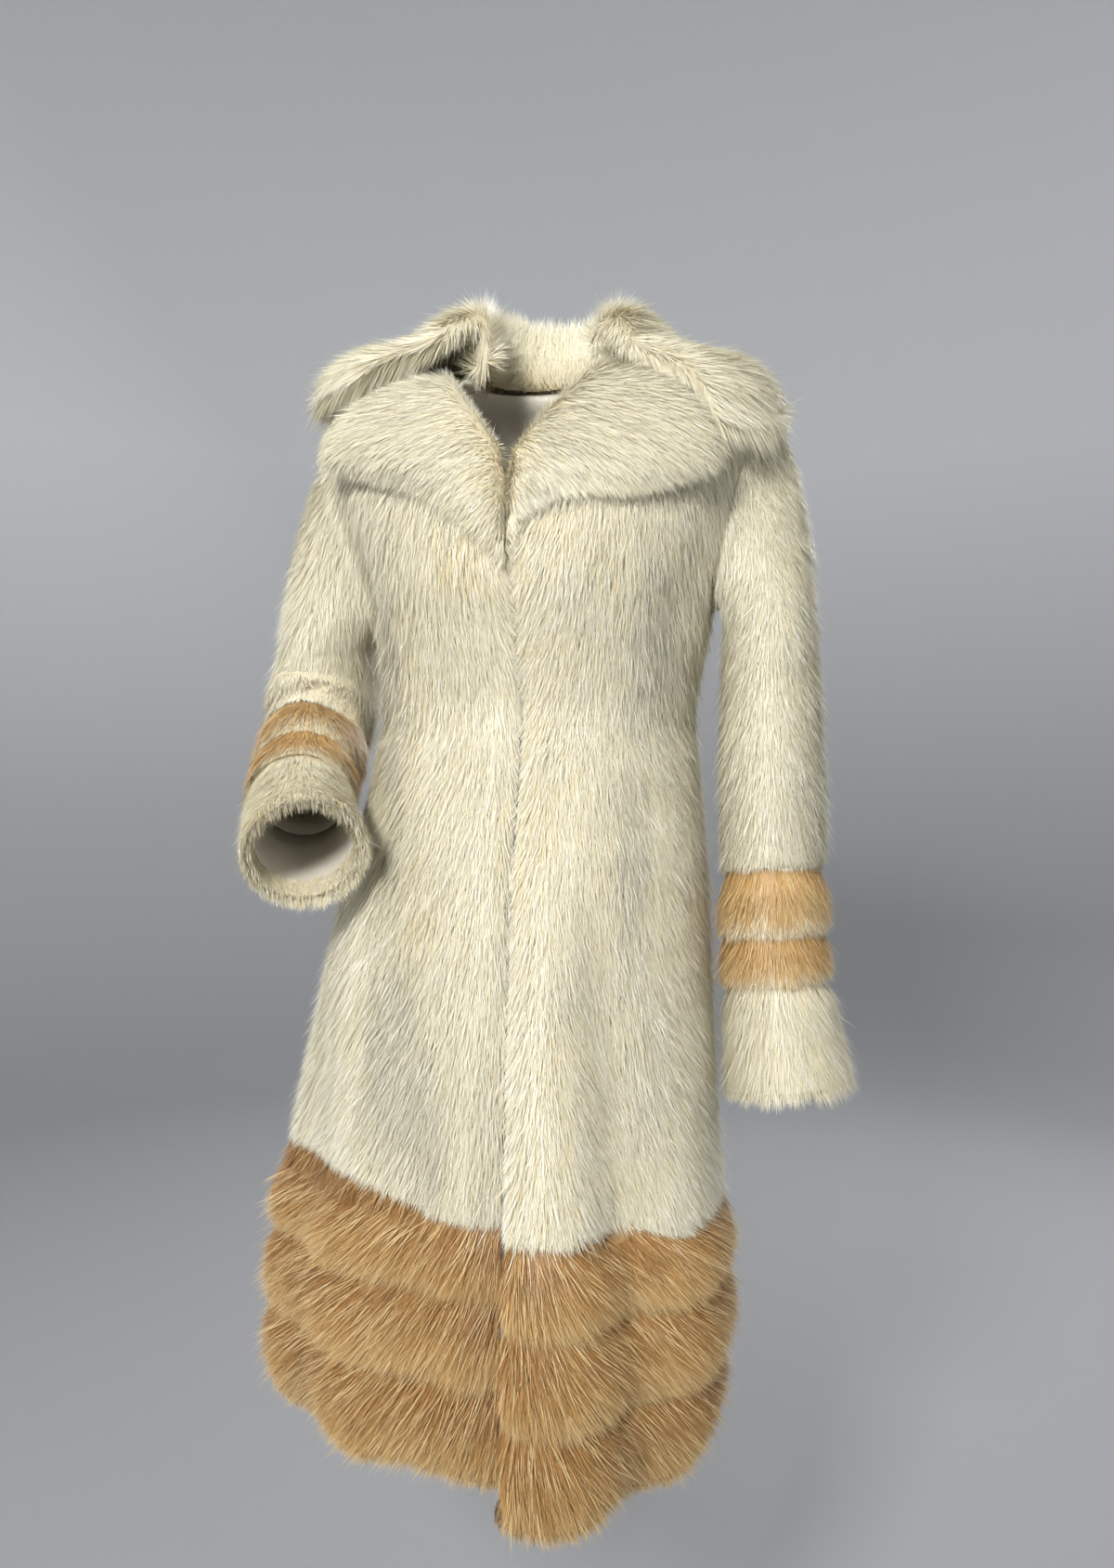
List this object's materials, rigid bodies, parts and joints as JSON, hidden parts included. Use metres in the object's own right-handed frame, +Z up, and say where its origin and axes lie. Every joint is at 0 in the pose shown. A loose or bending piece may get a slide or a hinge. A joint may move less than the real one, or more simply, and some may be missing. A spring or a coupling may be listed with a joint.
{
  "type": "fur coat",
  "caption": "Knee-length fitted fur coat in cream with wide lapels, a collar over the shoulders, and tan fur bands round the hem and the sleeves, filled out as worn.",
  "frame": {"origin": "midway between the two points where the shoulder seams meet the neck, level with them", "axes": "+Z up, +X to the wearer's left, the coat's front faces -Y"},
  "size_m": [0.5645, 0.3857, 1.0134],
  "materials": {
    "cream_fur": "short glossy pile that lies downwards",
    "tan_fur": "longer glossy pile that lies downwards and outwards"
  },
  "bodies": {
    "root": {"front_right": "cream_fur", "front_left": "cream_fur", "back": "cream_fur", "hem_upper_right": "tan_fur", "hem_upper_left": "tan_fur", "hem_upper_back": "tan_fur", "hem_middle_right": "tan_fur", "hem_middle_left": "tan_fur", "hem_middle_back": "tan_fur", "hem_lower_right": "tan_fur", "hem_lower_left": "tan_fur", "hem_lower_back": "tan_fur", "sleeve_right": "cream_fur", "sleeve_left": "cream_fur", "sleeve_band_upper_right": "tan_fur", "sleeve_band_upper_left": "tan_fur", "sleeve_band_lower_right": "tan_fur", "sleeve_band_lower_left": "tan_fur", "cuff_right": "cream_fur", "cuff_left": "cream_fur", "lapel_right": "cream_fur", "lapel_left": "cream_fur", "collar": "cream_fur"}
  },
  "joints": []
}
